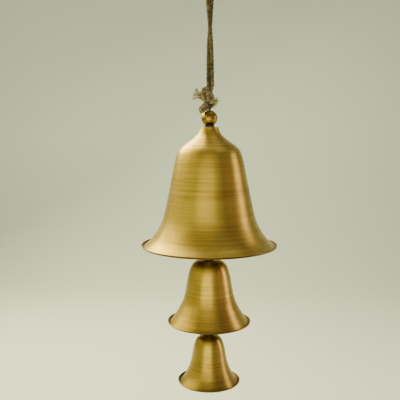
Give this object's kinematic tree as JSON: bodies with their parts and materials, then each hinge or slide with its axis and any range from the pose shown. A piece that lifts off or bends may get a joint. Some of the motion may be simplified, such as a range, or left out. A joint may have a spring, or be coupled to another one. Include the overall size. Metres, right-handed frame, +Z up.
{
  "type": "hanging bell string",
  "caption": "Graduated spun bells hung mouth down one below the other on a doubled knotted rope, each with a loose striker inside.",
  "frame": {"origin": "underside of the top of the rope loop, where the hook bears, on the vertical line through all the bells", "axes": "+Z up, -Y towards the front, +X to the right seen from the front"},
  "size_m": [0.25, 0.25, 0.7672],
  "materials": {
    "bell_brass": "antiqued spun brass, satin, with fine turned lines",
    "finial_brass": "antiqued brass, half polished",
    "striker_brass": "antiqued brass, dull",
    "hardware": "darkened steel, oiled",
    "rope": "three-strand jute, hairy"
  },
  "bodies": {
    "root": {"hanging_rope": "rope"},
    "knot": {"rope_knot": "rope", "rope_bight": "rope", "rope_end_left": "rope", "rope_end_right": "rope"},
    "large_bell": {"large_bell_shell": "bell_brass", "finial_ball": "finial_brass", "ball_seat": "hardware", "large_inner_washer": "hardware", "large_lock_nut": "hardware", "large_clapper_eye": "hardware", "large_eye_bolt": "hardware"},
    "large_link": {"large_link": "hardware"},
    "large_striker_rod": {"large_striker_rod": "hardware", "large_striker": "striker_brass", "large_upper_collar": "hardware", "large_lower_collar": "hardware"},
    "medium_link": {"medium_link": "hardware"},
    "medium_bell": {"medium_bell_shell": "bell_brass", "medium_top_washer": "hardware", "medium_inner_washer": "hardware", "medium_lock_nut": "hardware", "medium_clapper_eye": "hardware", "medium_eye_bolt": "hardware"},
    "medium_inner_link": {"medium_inner_link": "hardware"},
    "medium_striker_rod": {"medium_striker_rod": "hardware", "medium_striker": "striker_brass", "medium_upper_collar": "hardware", "medium_lower_collar": "hardware"},
    "small_link": {"small_link": "hardware"},
    "small_bell": {"small_bell_shell": "bell_brass", "small_top_washer": "hardware", "small_inner_washer": "hardware", "small_lock_nut": "hardware", "small_clapper_eye": "hardware", "small_eye_bolt": "hardware"},
    "small_inner_link": {"small_inner_link": "hardware"},
    "small_clapper": {"small_clapper_rod": "hardware", "small_clapper_ball": "striker_brass", "small_collar": "hardware"}
  },
  "joints": [
    {"name": "rope_swing", "type": "hinge", "parent": "root", "child": "knot", "pos_m": [0, 0, -0.225], "axis": [0, 1, 0], "range_deg": [-25, 25]},
    {"name": "bell_swing", "type": "hinge", "parent": "knot", "child": "large_bell", "pos_m": [0, 0, -0.2471], "axis": [0.8192, 0.5736, 0], "range_deg": [-25, 25]},
    {"name": "large_link_swing", "type": "hinge", "parent": "large_bell", "child": "large_link", "pos_m": [0, 0, -0.3066], "axis": [1, 0, 0], "range_deg": [-17, 17]},
    {"name": "large_striker_swing", "type": "hinge", "parent": "large_link", "child": "large_striker_rod", "pos_m": [0, 0, -0.3143], "axis": [0, 1, 0], "range_deg": [-17, 17]},
    {"name": "medium_link_swing", "type": "hinge", "parent": "large_striker_rod", "child": "medium_link", "pos_m": [0, 0, -0.5105], "axis": [-1, 0, 0], "range_deg": [-24, 24]},
    {"name": "medium_bell_swing", "type": "hinge", "parent": "medium_link", "child": "medium_bell", "pos_m": [0, 0, -0.5182], "axis": [0, -1, 0], "range_deg": [-24, 24]},
    {"name": "medium_inner_link_swing", "type": "hinge", "parent": "medium_bell", "child": "medium_inner_link", "pos_m": [0, 0, -0.5512], "axis": [1, 0, 0], "range_deg": [-22, 22]},
    {"name": "medium_striker_swing", "type": "hinge", "parent": "medium_inner_link", "child": "medium_striker_rod", "pos_m": [0, 0, -0.5589], "axis": [0, 1, 0], "range_deg": [-22, 22]},
    {"name": "small_link_swing", "type": "hinge", "parent": "medium_striker_rod", "child": "small_link", "pos_m": [0, 0, -0.6541], "axis": [-1, 0, 0], "range_deg": [-24, 24]},
    {"name": "small_bell_swing", "type": "hinge", "parent": "small_link", "child": "small_bell", "pos_m": [0, 0, -0.6618], "axis": [0, -1, 0], "range_deg": [-24, 24]},
    {"name": "small_inner_link_swing", "type": "hinge", "parent": "small_bell", "child": "small_inner_link", "pos_m": [0, 0, -0.6947], "axis": [1, 0, 0], "range_deg": [-23, 23]},
    {"name": "small_clapper_swing", "type": "hinge", "parent": "small_inner_link", "child": "small_clapper", "pos_m": [0, 0, -0.7024], "axis": [0, 1, 0], "range_deg": [-23, 23]}
  ]
}
